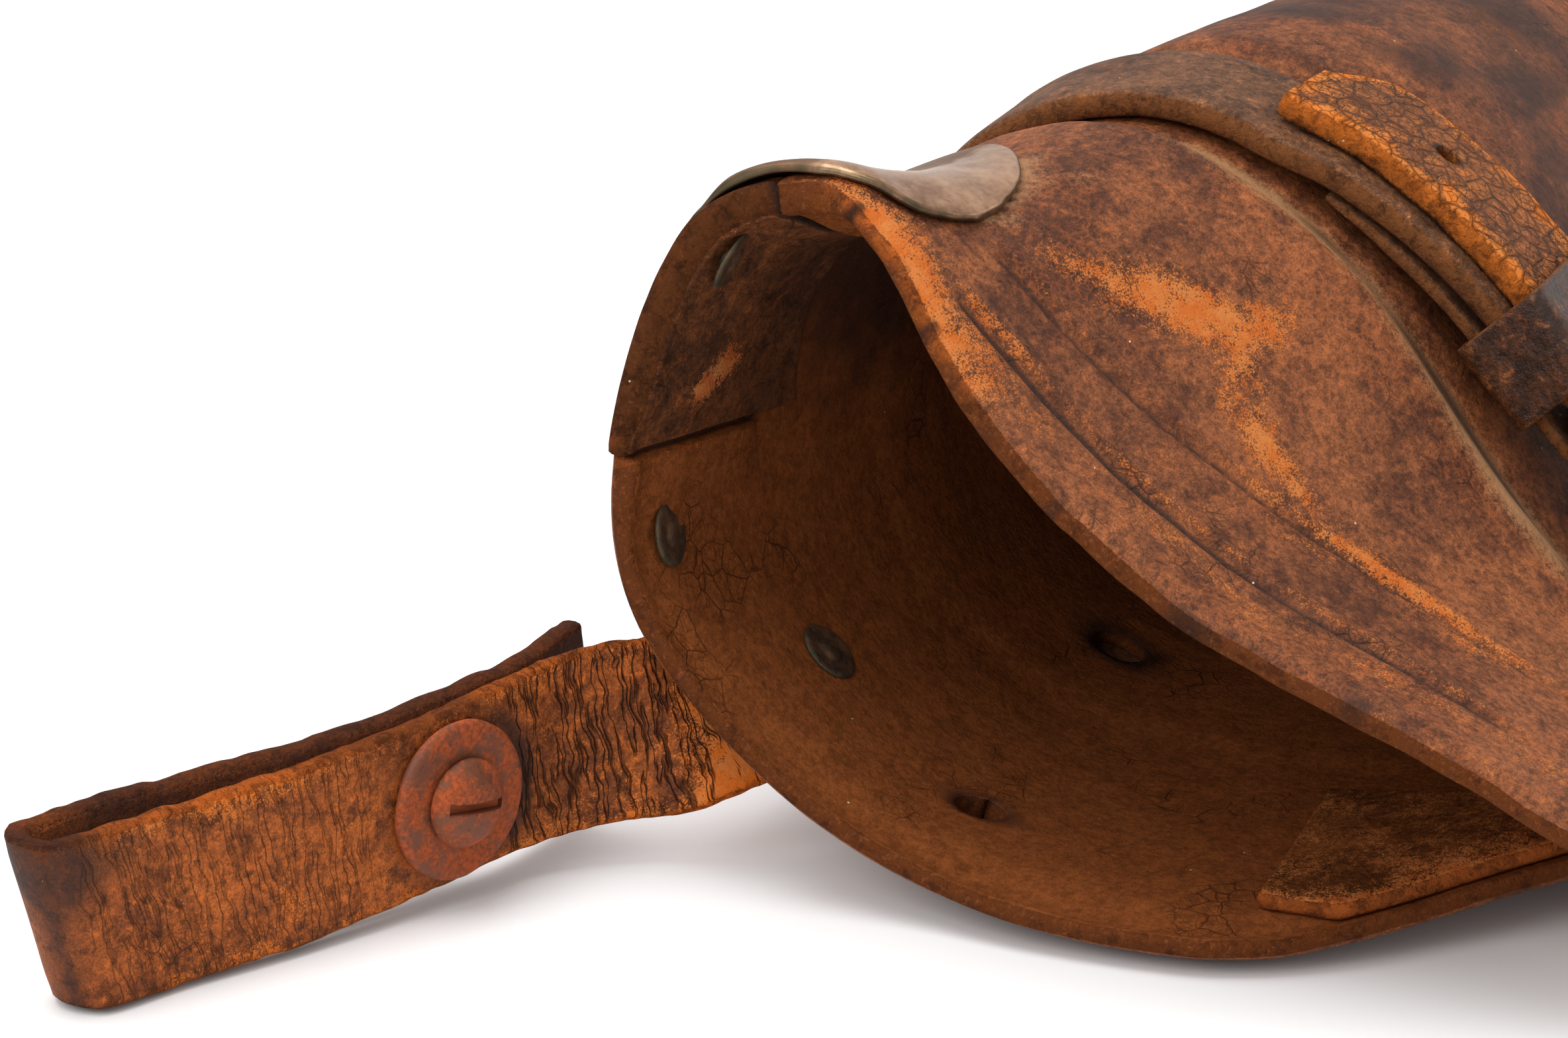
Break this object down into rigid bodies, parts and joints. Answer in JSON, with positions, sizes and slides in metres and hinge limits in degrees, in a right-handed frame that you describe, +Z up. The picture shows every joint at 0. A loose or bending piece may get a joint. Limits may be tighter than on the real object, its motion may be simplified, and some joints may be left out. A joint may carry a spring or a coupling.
{
  "type": "leather saddle scabbard",
  "caption": "Flared-mouth leather saddle scabbard with a brass throat guard, buckled body straps, a riveted hanging strap with a clamped loop and a plugged toe.",
  "frame": {"origin": "middle of the front strap's flat underside, on the ground the scabbard lies on", "axes": "X along the tube from mouth (-X) to toe (+X), +Y to the folded side, the sewn seam at -Y, +Z up"},
  "size_m": [0.5803, 0.2178, 0.1023],
  "materials": {
    "body_leather": "worn dark reddish brown with orange abrasions",
    "edge_leather": "raw cut edge",
    "lining_leather": "suede-like flesh side",
    "strap_leather": "dry cracked strap leather",
    "keeper_leather": "dark polished leather",
    "hanger_leather": "heavily cracked orange brown leather",
    "waxed_thread": "waxed linen",
    "guard_brass": "dull aged brass",
    "rivet_copper": "aged copper with verdigris",
    "rusty_iron": "brown rust",
    "buckle_iron": "dark worn iron"
  },
  "bodies": {
    "scabbard": {"body_shell": "body_leather", "seam_welt": "edge_leather", "seam_thread_upper": "waxed_thread", "seam_thread_lower": "waxed_thread", "throat_guard": "guard_brass", "throat_lining": "lining_leather", "seam_patch": "lining_leather", "guard_rivet_upper": "rivet_copper", "guard_rivet_lower": "rivet_copper", "hanger_rivet": "rivet_copper", "seam_rivet_mouth": "rivet_copper", "seam_rivet_toe": "rivet_copper", "toe_plug": "edge_leather", "toe_rivet_1": "rivet_copper", "toe_rivet_2": "rivet_copper", "toe_rivet_3": "rivet_copper", "toe_rivet_4": "rivet_copper", "front_strap": "strap_leather", "rear_strap": "strap_leather"},
    "hanger": {"hanging_strap": "hanger_leather", "stud_washer": "rusty_iron", "stud_screw": "rusty_iron", "stud_nut": "rusty_iron"},
    "front_end": {"front_strap_end": "strap_leather"},
    "front_keeper_loop": {"front_keeper": "keeper_leather"},
    "front_buckle": {"front_buckle_frame": "buckle_iron"},
    "front_tongue": {"front_buckle_tongue": "buckle_iron"},
    "rear_end": {"rear_strap_end": "strap_leather"},
    "rear_keeper_loop": {"rear_keeper": "keeper_leather"},
    "rear_buckle": {"rear_buckle_frame": "buckle_iron"},
    "rear_tongue": {"rear_buckle_tongue": "buckle_iron"}
  },
  "joints": [
    {"name": "hanger_swing", "type": "hinge", "parent": "scabbard", "child": "hanger", "pos_m": [-0.053, 0.0529, 0.0222], "axis": [0, 0.6991, -0.7151], "range_deg": [0, 15]},
    {"name": "front_end_lift", "type": "hinge", "parent": "scabbard", "child": "front_end", "pos_m": [0, -0.03718, 0.07711], "axis": [1, 0, 0], "range_deg": [0, 55]},
    {"name": "front_keeper_slide", "type": "slide", "parent": "scabbard", "child": "front_keeper_loop", "axis": [0, 0.678, 0.735], "range_m": [-0.003, 0]},
    {"name": "front_buckle_tilt", "type": "hinge", "parent": "scabbard", "child": "front_buckle", "pos_m": [0, -0.04642, 0.05572], "axis": [-1, 0, 0], "range_deg": [0, 6]},
    {"name": "front_tongue_lift", "type": "hinge", "parent": "front_buckle", "child": "front_tongue", "pos_m": [0, -0.04642, 0.05572], "axis": [-1, 0, 0], "range_deg": [0, 8]},
    {"name": "rear_end_lift", "type": "hinge", "parent": "scabbard", "child": "rear_end", "pos_m": [0.3, -0.02993, 0.06288], "axis": [1, 0, 0], "range_deg": [0, 55]},
    {"name": "rear_keeper_slide", "type": "slide", "parent": "scabbard", "child": "rear_keeper_loop", "axis": [0, 0.7479, 0.6639], "range_m": [-0.003, 0]},
    {"name": "rear_buckle_tilt", "type": "hinge", "parent": "scabbard", "child": "rear_buckle", "pos_m": [0.3, -0.04126, 0.04251], "axis": [-1, 0, 0], "range_deg": [0, 6]},
    {"name": "rear_tongue_lift", "type": "hinge", "parent": "rear_buckle", "child": "rear_tongue", "pos_m": [0.3, -0.04126, 0.04251], "axis": [-1, 0, 0], "range_deg": [0, 8]}
  ]
}
